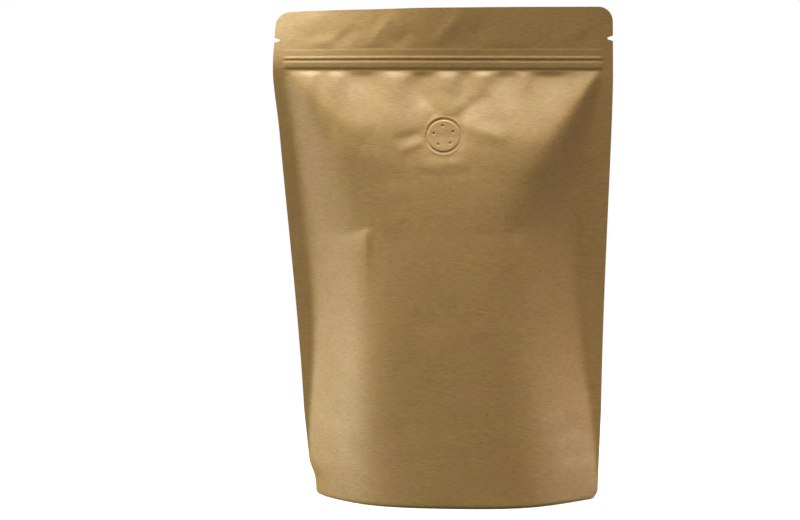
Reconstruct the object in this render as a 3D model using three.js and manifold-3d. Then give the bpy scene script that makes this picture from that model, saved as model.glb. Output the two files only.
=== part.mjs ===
// A filled stand-up coffee bag in kraft paper, with a press-to-close strip and a one-way degassing valve.
// Millimetres. +Z is up, the front faces -Y, and the origin is the middle of the base on the table.
// The bag is one shut solid: a flat header, a pillow of coffee below the strip, and a gusset underneath.

import * as THREE from "three";
import { mergeVertices } from "three/addons/utils/BufferGeometryUtils.js";
import Module from "manifold-3d";

const wasm = await Module();
wasm.setup();

// ---- Driving sizes ----
const WIDTH = 190; // flat width, the width of the header
const HEIGHT = 277.5; // standing height
const BASE_DEPTH = 82; // front to back across the open gusset, before its edges are rounded off
const PAPER = 0.8; // both paper layers together, where they are welded
const SEAL = 5.5; // welded band along each side
const CORNER_RADIUS = 8; // top corners

// The press-to-close strip: a flange with a narrow rib above a broad one, welded in slightly askew.
const STRIP_FOOT = 243;
const STRIP_TOP = 254.8;
const FLANGE_RISE = 0.3;
const RIBS = [
  { level: 249.9, half: 1.3, rise: 0.8 },
  { level: 245.9, half: 2.7, rise: 0.9 },
];
const RIB_END_FADE = 1.5;
const STRIP_SLANT = 0.013; // drop for each millimetre to the right
const SLANT_FROM = 150; // below this the slant has died out

// The tear notches.
const NOTCH_LEVEL = 260.8;
const NOTCH_DEPTH = 3;
const NOTCH_HEIGHT = 2.8;
const NOTCH_TIP = 1;

// The valve: a round vent face in a pressed ring.
const VALVE_Z = 207;
const VALVE_RADIUS = 9.3;
const RING_RADIUS = 10.2;
const RING_DEPTH = 1.5;
const VALVE_GAP = 0.3;
const VALVE_RISE = 0.15;
const VALVE_CHAMFER = 0.45;
const VALVE_FLAT = 11.5; // the paper is flat this far from the valve's centre
const VALVE_BLEND = 24; // and follows the pillow again from here
const VENT_COUNT = 5;
const VENT_PITCH_RADIUS = 5.7;
const VENT_RADIUS = 0.45;
const VENT_DEPTH = 0.8;
const VENT_TURN = THREE.MathUtils.degToRad(5);

// Each side edge: how far it is drawn in as the bag fills, how much further a kink and a tuck draw in its foot,
// the radius of its lower corner, and its band. That is the flat paper beside the edge: the weld and what it
// holds flat. It opens from the foot to its widest level and narrows towards the top.
const LEFT = {
  side: -1,
  drawn: 13.4,
  kink: 2.4,
  tuck: 3,
  foot: 2,
  band: { start: 5, widest: 8.4, level: 130, top: 4.4 },
};
const RIGHT = {
  side: 1,
  drawn: 8.4,
  kink: 0,
  tuck: 1.9,
  foot: 5,
  band: { start: -5, widest: 16, level: 150, top: 5 },
};
const DRAW_TOP = 240;
const DRAW_POWER = 1.3;
const KINK_FROM = 9;
const KINK_TO = 21;
const TUCK_HEIGHT = 50;
const TUCK_POWER = 1.2;
const LEAD_IN = 1; // the paper leaves its band in a curve of about this size
const LEAD_IN_SHARE = 0.42; // and this share of the band's width
const WALL_SLOPE = 2; // steepness of the paper beside a tucked-in edge

// The pillow: a top that slopes out from the strip, an upright middle, and a slanting cheek on each side.
const TOP_SLOPE = 0.39;
const MIDDLE_TAPER = 0.095;
const TOP_BEND = 4.2; // the higher, the sharper the top turns into the middle
const BEND_AT_FOOT = 3.6; // the same for the ridges between the middle and the cheeks
const BEND_AT_SHOULDER = 4.5;
const BEND_AT_STRIP = 5;
const WALL_BEND = 6; // and for a cheek and the wall beside its edge
const SHOULDER = 152; // the ridges run slanting above this level and upright below it

// Each face's ridges, by their distance from the middle, with how far they bow out between, the curve they take
// from the shoulder to the strip and the height of the crease that runs out from them across the cheek.
const FRONT = {
  outward: -1,
  left: { shoulder: 46, foot: 42, bow: 4, curve: 1.26, crease: 1.8 },
  right: { shoulder: 46, foot: 43, bow: 0, curve: 1.22, crease: 0.4 },
};
const BACK = {
  outward: 1,
  left: { shoulder: 42, foot: 38, bow: 2, curve: 1.5, crease: 0.5 },
  right: { shoulder: 46, foot: 44, bow: 1, curve: 1.3, crease: 0.9 },
};
const CREASE_LEVEL = 156;
const CREASE_INSET = 2.5; // its peak lies this far inside the ridge
const CREASE_OUTSIDE = 34; // how far its flanks reach
const CREASE_INSIDE = 6.5;
const CREASE_EDGE = 3; // height over which it starts, at its peak
const CREASE_WIDENS = 0.3; // and what this gains for each millimetre outwards
const CREASE_FADE = 17; // how slowly it dies out downwards
const CREASE_DROP = 7; // how far its upper edge drops away outwards
const CREASE_DROP_OVER = 14;

// The base has turned a little against the header, right side forward.
const TWIST = 8;
const TWIST_HALF_WIDTH = 78;

// The header leans back at its left end and stands upright from the middle on. Its free edge waves a little.
const LEAN_PIVOT = 242;
const LEAN_START = 30; // height over which the lean comes on
const LEAN_LEFT = THREE.MathUtils.degToRad(39);
const LEAN_RIGHT = THREE.MathUtils.degToRad(-3);
const LEAN_FROM = -100;
const LEAN_TO = 18;
const HEADER_LIFT = 3.3; // what its left end stands higher, before it leans
const LIFT_FROM = 25; // and how far left of the middle this starts
const HEADER_WAVE = 0.5;
const WAVE_PHASE = 0.6;

// Underside: a welded skirt, a shallow channel inside it, and the gusset's flat belly with its centre fold.
const SKIRT = 1.6;
const CHANNEL = 7;
const CHANNEL_DEEPEST = 0.3; // how far across the channel it is deepest
const CHANNEL_RISE = 3.2;
const FOLD_HALF = 1.6;
const FOLD_RISE = 1.1;
const UNDERSIDE_FULL_DEPTH = 22; // half depth from which the underside has its full relief

// Mesh density.
const COLUMNS = 34;
const FOOT_ROWS = [0, 3, 8, 14, 21];
const ROW_STEP = 9;
const ROWS_AT_CREASE = [-6, -2.5, 0.5];
const ROWS_UNDER_STRIP = [9, 5, 2, 0];
const ROWS_ON_RIB = [-0.9, -0.45, 0, 0.45, 0.9];
const ROWS_ON_HEADER = [5, 13];
const EDGE_STEP = 0.1; // height of the steps at the flange's edges
const ROUND_STEPS = 48;
const VENT_STEPS = 12;
const CORNER_STEPS = 8;
const CUT_REACH = 30; // cutters reach this far to the front and back
const CUT_MARGIN = 4; // and this far past an edge

// ---- Small helpers ----
const { clamp, lerp, smoothstep } = THREE.MathUtils;

function bump(distance, half) {
  return Math.abs(distance) < half ? 0.5 + 0.5 * Math.cos((Math.PI * distance) / half) : 0;
}

// A smooth minimum of positive heights, so that planes meet in rounded ridges.
function softMin(heights, power) {
  if (heights.some((h) => h <= 0)) return 0;
  return heights.reduce((sum, h) => sum + h ** -power, 0) ** (-1 / power);
}

// ---- The bag's shape ----
// A level is a line across the bag that is given by its height in the middle. Round the strip it slants.
function levelHeight(x, level) {
  const slanting = smoothstep(level, SLANT_FROM, STRIP_FOOT) * (1 - smoothstep(level, STRIP_TOP, HEIGHT));
  const lift = HEADER_LIFT * smoothstep(-x, LIFT_FROM, WIDTH / 2) * smoothstep(level, STRIP_TOP, HEIGHT);
  return level - STRIP_SLANT * slanting * x + lift;
}

// Half width where the foot isn't tucked in.
function fullHalfWidth(edge, level) {
  const filled = clamp((DRAW_TOP - level) / DRAW_TOP, 0, 1);
  return WIDTH / 2 - edge.drawn * Math.sin((Math.PI / 2) * filled) ** DRAW_POWER;
}

function halfWidth(edge, level) {
  const tuck = edge.tuck * clamp(1 - level / TUCK_HEIGHT, 0, 1) ** TUCK_POWER;
  return fullHalfWidth(edge, level) - tuck - edge.kink * (1 - smoothstep(level, KINK_FROM, KINK_TO));
}

function bandWidth({ band }, level) {
  const down = clamp((STRIP_FOOT - level) / (STRIP_FOOT - band.level), 0, 1);
  return lerp(band.top, band.widest, Math.sin((Math.PI / 2) * down)) * smoothstep(level, band.start, band.level);
}

function middleDepth(level) {
  return softMin([TOP_SLOPE * (STRIP_FOOT - level), BASE_DEPTH / 2 - MIDDLE_TAPER * level], TOP_BEND);
}

// How far from the middle a ridge runs at a level. It starts at the strip's end, beside the seal.
function ridgeX(ridge, level) {
  if (level < SHOULDER) {
    const share = level / SHOULDER;
    return lerp(ridge.foot, ridge.shoulder, share) + ridge.bow * Math.sin(Math.PI * share);
  }
  const aboveShoulder = clamp((level - SHOULDER) / (STRIP_FOOT - SHOULDER), 0, 1);
  return lerp(ridge.shoulder, WIDTH / 2 - SEAL, aboveShoulder ** ridge.curve);
}

// How far a cheek stands out: a plane from its band to the ridge. Where the foot is tucked in, a steep wall
// meets the edge.
function cheekDepth(edge, ridge, x, level) {
  const below = Math.min(level, STRIP_FOOT - 1);
  const span = fullHalfWidth(edge, below) - bandWidth(edge, below) - ridgeX(ridge, below);
  const band = bandWidth(edge, level);
  const leadIn = LEAD_IN + LEAD_IN_SHARE * band;
  const plane = (half, slope) => {
    const fromBand = Math.max(half - band - edge.side * x, 0);
    return slope * (Math.hypot(fromBand, leadIn) - leadIn);
  };
  const cheek = plane(fullHalfWidth(edge, level), middleDepth(below) / span);
  return softMin([cheek, plane(halfWidth(edge, level), WALL_SLOPE)], WALL_BEND);
}

// The crease under a shoulder: it starts at a sharp peak on the ridge, drops away outwards across the cheek and
// dies out downwards.
function shoulderCrease(edge, ridge, x, level) {
  const outwards = edge.side * x - (ridge.shoulder - CREASE_INSET);
  const drop = CREASE_DROP * (1 - Math.exp(-Math.max(outwards, 0) / CREASE_DROP_OVER));
  const below = Math.max(CREASE_LEVEL - drop - level, 0);
  const start = CREASE_EDGE + CREASE_WIDENS * Math.max(outwards, 0);
  const fall = (1 - Math.exp(-below / start)) * Math.exp(-below / CREASE_FADE);
  const share = outwards > 0 ? outwards / CREASE_OUTSIDE : -outwards / CREASE_INSIDE;
  return ridge.crease * fall * clamp(1 - share, 0, 1) ** 2;
}

// How far a face of the pillow stands out from the bag's middle sheet.
function pillow(face, x, level) {
  if (level >= STRIP_FOOT) return 0;
  const sides = [
    [LEFT, face.left],
    [RIGHT, face.right],
  ];
  const cheeks = sides.map(([edge, ridge]) => cheekDepth(edge, ridge, x, level));
  const creases = sides.map(([edge, ridge]) => shoulderCrease(edge, ridge, x, level));
  const towardsShoulder = (BEND_AT_SHOULDER - BEND_AT_FOOT) * smoothstep(level, 0, SHOULDER);
  const towardsStrip = (BEND_AT_STRIP - BEND_AT_SHOULDER) * smoothstep(level, SHOULDER, STRIP_FOOT);
  const bend = BEND_AT_FOOT + towardsShoulder + towardsStrip;
  return softMin([middleDepth(level), ...cheeks], bend) + creases[0] + creases[1];
}

const valvePlane = (() => {
  const step = 1;
  return {
    depth: pillow(FRONT, 0, VALVE_Z),
    alongX: (pillow(FRONT, step, VALVE_Z) - pillow(FRONT, -step, VALVE_Z)) / (2 * step),
    alongZ: (pillow(FRONT, 0, VALVE_Z + step) - pillow(FRONT, 0, VALVE_Z - step)) / (2 * step),
  };
})();

// The pillow, with the front pulled flat round the valve.
function faceDepth(face, x, level) {
  const depth = pillow(face, x, level);
  if (face !== FRONT) return depth;
  const reach = Math.hypot(x, level - VALVE_Z);
  const flat = 1 - smoothstep(reach, VALVE_FLAT, VALVE_BLEND);
  const plane = valvePlane.depth + valvePlane.alongX * x + valvePlane.alongZ * (level - VALVE_Z);
  return lerp(depth, plane, flat);
}

// Relief of the press-to-close strip, which fades out before the side seals.
function stripRise(x, level) {
  const inside = Math.min(x + halfWidth(LEFT, level), halfWidth(RIGHT, level) - x) - SEAL;
  const flange = level > STRIP_FOOT && level < STRIP_TOP ? FLANGE_RISE : 0;
  const ribs = RIBS.reduce((sum, rib) => sum + rib.rise * bump(level - rib.level, rib.half), 0);
  return (flange + ribs) * smoothstep(inside, 0, RIB_END_FADE);
}

// The sheet half way between front and back.
function middleSheet(x, level) {
  const filled = clamp((STRIP_FOOT - level) / STRIP_FOOT, 0, 1);
  const header = clamp((level - STRIP_TOP) / (HEIGHT - STRIP_TOP), 0, 1);
  const twist = -TWIST * (x / TWIST_HALF_WIDTH) * filled ** 2;
  const wave = HEADER_WAVE * Math.sin((2 * Math.PI * x) / WIDTH + WAVE_PHASE) * header ** 2;
  return twist + wave;
}

function facePoint(face, x, level) {
  const depth = PAPER / 2 + faceDepth(face, x, level) + stripRise(x, level);
  const y = middleSheet(x, level) + face.outward * depth;
  const z = levelHeight(x, level);
  const rise = Math.max(z - LEAN_PIVOT, 0);
  const leaning = rise ** 2 / (rise + LEAN_START);
  const lean = lerp(LEAN_LEFT, LEAN_RIGHT, smoothstep(x, LEAN_FROM, LEAN_TO));
  return [x, y + leaning * Math.sin(lean), z - leaning * (1 - Math.cos(lean))];
}

// ---- The bag's mesh ----
// Columns run from seal to seal: each seal's two edges, and even steps between the seals.
function columnX(column, level) {
  const left = -halfWidth(LEFT, level);
  const right = halfWidth(RIGHT, level);
  if (column === 0) return left;
  if (column === COLUMNS + 2) return right;
  return lerp(left + SEAL, right - SEAL, (column - 1) / COLUMNS);
}

function rowLevels() {
  const levels = [...FOOT_ROWS];
  const climbTo = (end) => {
    while (levels.at(-1) + 1.3 * ROW_STEP < end) levels.push(levels.at(-1) + ROW_STEP);
  };
  climbTo(CREASE_LEVEL + ROWS_AT_CREASE[0]);
  for (const above of ROWS_AT_CREASE) levels.push(CREASE_LEVEL + above);
  climbTo(STRIP_FOOT - ROWS_UNDER_STRIP[0]);
  for (const below of ROWS_UNDER_STRIP) levels.push(STRIP_FOOT - below);
  levels.push(STRIP_FOOT + EDGE_STEP);
  for (const rib of [...RIBS].reverse()) {
    for (const share of ROWS_ON_RIB) levels.push(rib.level + share * rib.half);
  }
  levels.push(STRIP_TOP - EDGE_STEP, STRIP_TOP + EDGE_STEP);
  for (const above of ROWS_ON_HEADER) levels.push(STRIP_TOP + above);
  levels.push(HEIGHT);
  return levels;
}

// Stations across the underside from the front edge (0) to the back edge (2 x half), with their heights.
function undersideProfile(half) {
  const relief = clamp(half / UNDERSIDE_FULL_DEPTH, 0, 1);
  const nearHalf = [
    [SKIRT * relief, 0],
    [(SKIRT + CHANNEL_DEEPEST * CHANNEL) * relief, CHANNEL_RISE * relief],
    [(SKIRT + CHANNEL) * relief, 0],
    [half - FOLD_HALF * relief, 0],
  ];
  const farHalf = nearHalf.map(([across, rise]) => [2 * half - across, rise]).reverse();
  return [...nearHalf, [half, FOLD_RISE * relief], ...farHalf];
}

function bagGeometry() {
  const levels = rowLevels();
  const columns = COLUMNS + 3;
  const points = [];
  const triangles = [];
  const add = (p) => points.push(p) - 1;
  const quad = (a, b, c, d) => triangles.push([a, b, c], [a, c, d]);
  const sheet = (face) =>
    levels.map((level) => {
      const across = Array.from({ length: columns }, (_, c) => columnX(c, level));
      return across.map((x) => add(facePoint(face, x, level)));
    });
  const front = sheet(FRONT);
  const back = sheet(BACK);

  for (let r = 0; r + 1 < levels.length; r++) {
    for (let c = 0; c + 1 < columns; c++) {
      quad(front[r][c], front[r][c + 1], front[r + 1][c + 1], front[r + 1][c]);
      quad(back[r][c + 1], back[r][c], back[r + 1][c], back[r + 1][c + 1]);
    }
    quad(back[r][0], front[r][0], front[r + 1][0], back[r + 1][0]);
    quad(front[r][columns - 1], back[r][columns - 1], back[r + 1][columns - 1], front[r + 1][columns - 1]);
  }
  for (let c = 0; c + 1 < columns; c++) {
    const top = levels.length - 1;
    quad(front[top][c], front[top][c + 1], back[top][c + 1], back[top][c]);
  }

  // Underside: a strip of stations under each inner column, and a fan to each end.
  const stations = [];
  for (let c = 1; c + 1 < columns; c++) {
    const [x, frontY] = points[front[0][c]];
    const half = (points[back[0][c]][1] - frontY) / 2;
    const inner = undersideProfile(half).map(([across, rise]) => add([x, frontY + across, rise]));
    stations.push([front[0][c], ...inner, back[0][c]]);
  }
  for (let s = 0; s + 1 < stations.length; s++) {
    for (let k = 0; k + 1 < stations[s].length; k++) {
      quad(stations[s][k], stations[s][k + 1], stations[s + 1][k + 1], stations[s + 1][k]);
    }
  }
  const fan = (column, frontEnd, backEnd, flip) => {
    const turn = (a, b, c) => triangles.push(flip ? [a, c, b] : [a, b, c]);
    const middle = (column.length - 1) / 2;
    for (let k = 0; k + 1 < column.length; k++) {
      turn(k < middle ? frontEnd : backEnd, column[k], column[k + 1]);
    }
    turn(frontEnd, column[middle], backEnd);
  };
  fan(stations[0], front[0][0], back[0][0], true);
  fan(stations.at(-1), front[0][columns - 1], back[0][columns - 1], false);

  const geometry = new THREE.BufferGeometry();
  geometry.setAttribute("position", new THREE.Float32BufferAttribute(points.flat(), 3));
  geometry.setIndex(triangles.flat());
  return geometry;
}

// ---- Joining and cutting ----
function solidOf(geometry) {
  const bare = new THREE.BufferGeometry();
  bare.setAttribute("position", geometry.getAttribute("position"));
  bare.setIndex(geometry.getIndex());
  const merged = mergeVertices(bare, 1e-4);
  return new wasm.Manifold(
    new wasm.Mesh({
      numProp: 3,
      vertProperties: Float32Array.from(merged.getAttribute("position").array),
      triVerts: Uint32Array.from(merged.getIndex().array),
    }),
  );
}

function geometryOf(solid) {
  const mesh = solid.getMesh();
  const geometry = new THREE.BufferGeometry();
  geometry.setAttribute("position", new THREE.BufferAttribute(mesh.vertProperties, 3));
  geometry.setIndex(new THREE.BufferAttribute(mesh.triVerts, 1));
  geometry.computeVertexNormals();
  return geometry;
}

// A flat outline in X and Z, pushed right through the bag along Y.
function throughCutter(shape) {
  const options = { depth: 2 * CUT_REACH, bevelEnabled: false, curveSegments: CORNER_STEPS };
  return new THREE.ExtrudeGeometry(shape, options).rotateX(Math.PI / 2).translate(0, CUT_REACH, 0);
}

// What rounding a corner takes away. The corner is at (x, z), and the bag lies to insideX and insideZ of it.
function cornerWaste(x, z, radius, insideX, insideZ) {
  const shape = new THREE.Shape();
  shape.moveTo(x - CUT_MARGIN * insideX, z - CUT_MARGIN * insideZ);
  shape.lineTo(x - CUT_MARGIN * insideX, z + radius * insideZ);
  shape.lineTo(x, z + radius * insideZ);
  const from = insideX > 0 ? Math.PI : 0;
  const to = insideZ > 0 ? -Math.PI / 2 : Math.PI / 2;
  shape.absarc(x + radius * insideX, z + radius * insideZ, radius, from, to, insideX * insideZ < 0);
  shape.lineTo(x + radius * insideX, z - CUT_MARGIN * insideZ);
  return throughCutter(shape);
}

function topCornerWaste(edge) {
  const [x, , z] = facePoint(FRONT, (edge.side * WIDTH) / 2, HEIGHT);
  return cornerWaste(x, z, CORNER_RADIUS, -edge.side, -1);
}

function footCornerWaste(edge) {
  return cornerWaste(edge.side * halfWidth(edge, 0), 0, edge.foot, -edge.side, 1);
}

function notchWaste(edge) {
  const [x, , z] = facePoint(FRONT, edge.side * halfWidth(edge, NOTCH_LEVEL), NOTCH_LEVEL);
  const tip = x - edge.side * NOTCH_DEPTH;
  const shape = new THREE.Shape();
  shape.moveTo(x + edge.side, z - NOTCH_HEIGHT / 2);
  shape.lineTo(x, z - NOTCH_HEIGHT / 2);
  shape.lineTo(tip, z - NOTCH_TIP / 2);
  shape.lineTo(tip, z + NOTCH_TIP / 2);
  shape.lineTo(x, z + NOTCH_HEIGHT / 2);
  shape.lineTo(x + edge.side, z + NOTCH_HEIGHT / 2);
  return throughCutter(shape);
}

// The valve's own frame: X to the right, Y up the bag and Z out of it, with its origin on the paper.
function valveFrame() {
  const out = new THREE.Vector3(-valvePlane.alongX, -1, -valvePlane.alongZ).normalize();
  const up = new THREE.Vector3(0, 0, 1).addScaledVector(out, -out.z).normalize();
  const right = new THREE.Vector3().crossVectors(up, out);
  const frame = new THREE.Matrix4().makeBasis(right, up, out);
  return frame.setPosition(...facePoint(FRONT, 0, VALVE_Z));
}

// A cylinder along the valve frame's Z.
function postGeometry(radius, low, high, steps) {
  const post = new THREE.CylinderGeometry(radius, radius, high - low, steps);
  return post.rotateX(Math.PI / 2).translate(0, 0, (low + high) / 2);
}

function makeBag() {
  const ring = postGeometry(RING_RADIUS, -RING_DEPTH, CUT_MARGIN, ROUND_STEPS).applyMatrix4(valveFrame());
  const waste = [
    ...[LEFT, RIGHT].flatMap((edge) => [topCornerWaste(edge), footCornerWaste(edge), notchWaste(edge)]),
    ring,
  ];
  const solid = waste.reduce((bag, cutter) => bag.subtract(solidOf(cutter)), solidOf(bagGeometry()));
  const paper = new THREE.MeshStandardMaterial({ color: 0xa98956, roughness: 0.62, metalness: 0 });
  const bag = new THREE.Mesh(geometryOf(solid), paper);
  bag.name = "bag";
  return bag;
}

// The vent face: a disc with a chamfered rim and a ring of pinholes.
function makeValve() {
  const floor = -RING_DEPTH + VALVE_GAP;
  const profile = [
    [0, floor],
    [VALVE_RADIUS, floor],
    [VALVE_RADIUS, VALVE_RISE - VALVE_CHAMFER],
    [VALVE_RADIUS - VALVE_CHAMFER, VALVE_RISE],
    [0, VALVE_RISE],
  ].map(([radius, height]) => new THREE.Vector2(radius, height));
  const disc = new THREE.LatheGeometry(profile, ROUND_STEPS).rotateX(Math.PI / 2);
  let solid = solidOf(disc);
  for (let i = 0; i < VENT_COUNT; i++) {
    const angle = Math.PI / 2 + VENT_TURN + (2 * Math.PI * i) / VENT_COUNT;
    const vent = postGeometry(VENT_RADIUS, VALVE_RISE - VENT_DEPTH, VALVE_RISE + 1, VENT_STEPS);
    vent.translate(VENT_PITCH_RADIUS * Math.cos(angle), VENT_PITCH_RADIUS * Math.sin(angle), 0);
    solid = solid.subtract(solidOf(vent));
  }
  const paper = new THREE.MeshStandardMaterial({ color: 0xb08f5c, roughness: 0.58, metalness: 0 });
  const valve = new THREE.Mesh(geometryOf(solid), paper);
  valve.name = "valve";
  valve.applyMatrix4(valveFrame());
  return valve;
}

const coffeeBag = new THREE.Group();
coffeeBag.add(makeBag(), makeValve());

export default coffeeBag;
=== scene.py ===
"""A filled stand-up coffee bag in kraft paper, with a press-to-close strip and a one-way degassing valve."""

import math
from collections import namedtuple

import bpy
import numpy as np
from mathutils import Matrix, Vector


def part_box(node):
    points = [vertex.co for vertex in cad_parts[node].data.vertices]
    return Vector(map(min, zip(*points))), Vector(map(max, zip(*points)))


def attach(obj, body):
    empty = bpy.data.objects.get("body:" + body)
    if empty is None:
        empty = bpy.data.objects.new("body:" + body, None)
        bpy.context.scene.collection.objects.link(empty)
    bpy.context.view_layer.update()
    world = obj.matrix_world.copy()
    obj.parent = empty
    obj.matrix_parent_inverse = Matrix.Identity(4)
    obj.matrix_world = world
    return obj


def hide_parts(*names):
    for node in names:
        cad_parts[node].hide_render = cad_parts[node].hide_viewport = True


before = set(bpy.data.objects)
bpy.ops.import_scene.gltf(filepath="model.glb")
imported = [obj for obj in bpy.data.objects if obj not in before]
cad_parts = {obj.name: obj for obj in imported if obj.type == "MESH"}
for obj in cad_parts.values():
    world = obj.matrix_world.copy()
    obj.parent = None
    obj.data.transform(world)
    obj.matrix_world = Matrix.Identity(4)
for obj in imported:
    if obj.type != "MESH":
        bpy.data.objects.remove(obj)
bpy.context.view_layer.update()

bl_info = {
    "name": "Kraft Coffee Bag",
    "version": (1, 0, 0),
    "blender": (4, 5, 0),
    "location": "View3D > Sidebar > Kraft Bag",
    "description": "Models a filled stand-up coffee bag in kraft paper with a degassing valve",
    "category": "Add Mesh",
}

MM = 0.001
BAG_LOW, BAG_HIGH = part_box("bag")

# ---- The bag's form, in millimetres ----

# The press-to-close strip: a flange with a narrow rib above a broad one, welded in slightly askew.
STRIP_FOOT = 243.0
STRIP_TOP = 254.8
FLANGE_RISE = 0.12
FLANGE_EDGE = 0.5
Rib = namedtuple("Rib", "level half flat rise")
RIBS = (Rib(249.9, 1.35, 0.1, 0.36), Rib(245.9, 2.7, 1.2, 0.38))
RIB_END_FADE = 1.5
STRIP_SLANT = 0.013
SLANT_FROM = 150.0

# The tear notches.
NOTCH_LEVEL = 260.8
NOTCH_DEPTH = 3.0
NOTCH_HEIGHT = 2.8
NOTCH_TIP = 1.0

# Each side edge: how far it is drawn in as the bag fills, how much further a kink and a tuck draw in its
# foot, how far it bulges out beside the strip, the radius of its lower corner, and its band. That is the flat
# paper beside the edge: the weld and what it holds flat. It opens from the foot to its widest level and
# narrows towards the top.
Edge = namedtuple("Edge", "side drawn kink tuck bulge foot band")
Band = namedtuple("Band", "start widest level top")
LEFT = Edge(-1, 13.4, 2.4, 3.0, 1.4, 2.0, Band(5.0, 8.4, 118.0, 4.4))
RIGHT = Edge(1, 8.4, 0.0, 1.9, 0.0, 5.0, Band(-5.0, 16.0, 150.0, 5.0))
DRAW_TOP = 240.0
DRAW_POWER = 1.3
KINK_FROM = 9.0
KINK_TO = 21.0
TUCK_HEIGHT = 50.0
TUCK_POWER = 1.2
BULGE_LEVEL = 243.0
BULGE_HALF = 36.0
CORNER_RADIUS = 8.0

# The paper leaves its band in a curve, and a steep wall stands beside a tucked-in edge.
LEAD_IN = 1.0
LEAD_IN_SHARE = 0.42
WALL_SLOPE = 2.0
WALL_BEND = 6.0

# The foot turns in a little above the table. The rim between both layers lies just inside the cut edge.
FOOT_TURN = 0.7
FOOT_TURN_HEIGHT = 1.6
FOOT_TURN_FROM = 1.0
RIM_INSET = 0.22

# The pillow: a top that slopes out from the strip, an upright middle, and a slanting cheek on each side.
# The bends say how sharply these meet: a low one rounds the ridge.
TOP_SLOPE = 0.39
MIDDLE_TAPER = 0.095
TOP_BEND = 3.9
BEND_AT_FOOT = 3.6
BEND_AT_SHOULDER = 3.9
BEND_AT_STRIP = 5.0
SHOULDER = 152.0

# A cheek's slope is worked out no higher than here and over no less than this span.
CHEEK_TOP = STRIP_FOOT - 1.0
LEAST_SPAN = 2.0

# Each face's ridges, by their distance from the middle, with how far they bow out between, the curve they
# take from the shoulder to the strip and the height of the crease that runs out from them across the cheek.
# The crease starts at a sharp peak on the ridge, drops away outwards and dies out downwards.
Ridge = namedtuple("Ridge", "shoulder foot bow curve crease")
Face = namedtuple("Face", "outward left right")
FRONT = Face(-1, Ridge(46, 42, 4, 1.26, 1.8), Ridge(46, 43, 0, 1.22, 0.4))
BACK = Face(1, Ridge(42, 38, 2, 1.5, 0.5), Ridge(46, 44, 1, 1.3, 0.9))
CREASE_LEVEL = 156.0
CREASE_INSET = 2.5
CREASE_OUTSIDE = 34.0
CREASE_INSIDE = 6.5
CREASE_EDGE = 3.0
CREASE_WIDENS = 0.3
CREASE_FADE = 17.0
CREASE_DROP = 7.0
CREASE_DROP_OVER = 14.0

# The base has turned a little against the header, right side forward.
TWIST = 8.0
TWIST_HALF_WIDTH = 78.0

# The header leans back at its left end and stands upright from the middle on. Its free edge waves a little.
LEAN_PIVOT = 242.0
LEAN_START = 30.0
LEAN_LEFT = math.radians(39)
LEAN_RIGHT = math.radians(-3)
LEAN_FROM = -100.0
LEAN_TO = 18.0
HEADER_WAVE = 0.5
WAVE_PHASE = 0.6
HEADER_CROWN = 0.6
HEADER_LIFT = 3.3
LIFT_FROM = 25.0

# Puckers where the slope hangs from the strip: place, outward bulge, half width and how far below the strip.
Pucker = namedtuple("Pucker", "x bulge half reach")
PUCKERS = (
    Pucker(-75, 1.00, 5, 6),
    Pucker(-68, -0.45, 4, 3.5),
    Pucker(-60, 1.00, 5, 6),
    Pucker(-46, -0.75, 8, 4),
    Pucker(-27, 1.35, 7, 7),
    Pucker(-12, -1.20, 7, 5),
    Pucker(2, 1.30, 6, 6),
    Pucker(12, -0.65, 4, 5),
    Pucker(23, 1.15, 5, 3.5),
    Pucker(34, -1.10, 7, 5),
    Pucker(45, 0.75, 4, 5),
    Pucker(59, -1.15, 12, 5),
)

# Creases of the front, each along a line from one place to another. A positive height is a ridge and a
# negative one a valley. It falls off over one width on the line's left and another on its right.
Crease = namedtuple("Crease", "x level to_x to_level height left right")
FRONT_CREASES = (
    # Folds that run out from the valve.
    Crease(3.5, 215.5, 26.0, 230.0, -0.80, 5.0, 7.0),
    Crease(9.0, 213.5, 36.0, 205.0, 0.60, 6.0, 6.0),
    Crease(8.0, 209.0, 68.0, 202.0, 1.30, 26.0, 24.0),
    Crease(-10.0, 209.0, -29.0, 204.0, -0.55, 6.0, 4.0),
    Crease(-10.0, 204.5, -25.0, 198.5, 0.45, 3.0, 4.0),
    Crease(-62.0, 211.0, -8.0, 212.0, 1.30, 22.0, 26.0),
    Crease(-3.0, 216.5, -19.0, 239.0, -0.80, 8.0, 6.0),
    Crease(-6.0, 216.5, -12.0, 226.0, 0.35, 5.0, 5.0),
    Crease(4.0, 217.0, 14.0, 226.0, 0.40, 5.0, 5.0),
    Crease(-11.0, 196.4, 9.0, 195.5, -0.20, 4.0, 3.5),
    Crease(-20.0, 191.5, -2.0, 188.5, 0.20, 5.0, 4.0),
    Crease(0.0, 193.5, 16.0, 189.5, 0.14, 4.0, 4.0),
    Crease(-14.0, 183.5, 22.0, 181.5, 0.12, 4.0, 5.0),
    # The slope's own soft folds.
    Crease(-87.0, 241.0, -44.0, 205.0, 1.10, 18.0, 13.0),
    Crease(-52.0, 197.0, -41.0, 160.0, -0.25, 8.0, 6.0),
    Crease(28.0, 236.0, 34.0, 216.0, 0.25, 6.0, 6.0),
    Crease(-40.0, 226.0, -22.0, 212.0, 0.22, 7.0, 6.0),
    # A dimple at the right shoulder.
    Crease(43.0, 160.0, 40.0, 147.0, -0.35, 2.5, 5.0),
    # A small bump low on the left ridge.
    Crease(-57.0, 54.0, -52.0, 31.0, 0.45, 2.2, 4.5),
)
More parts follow.
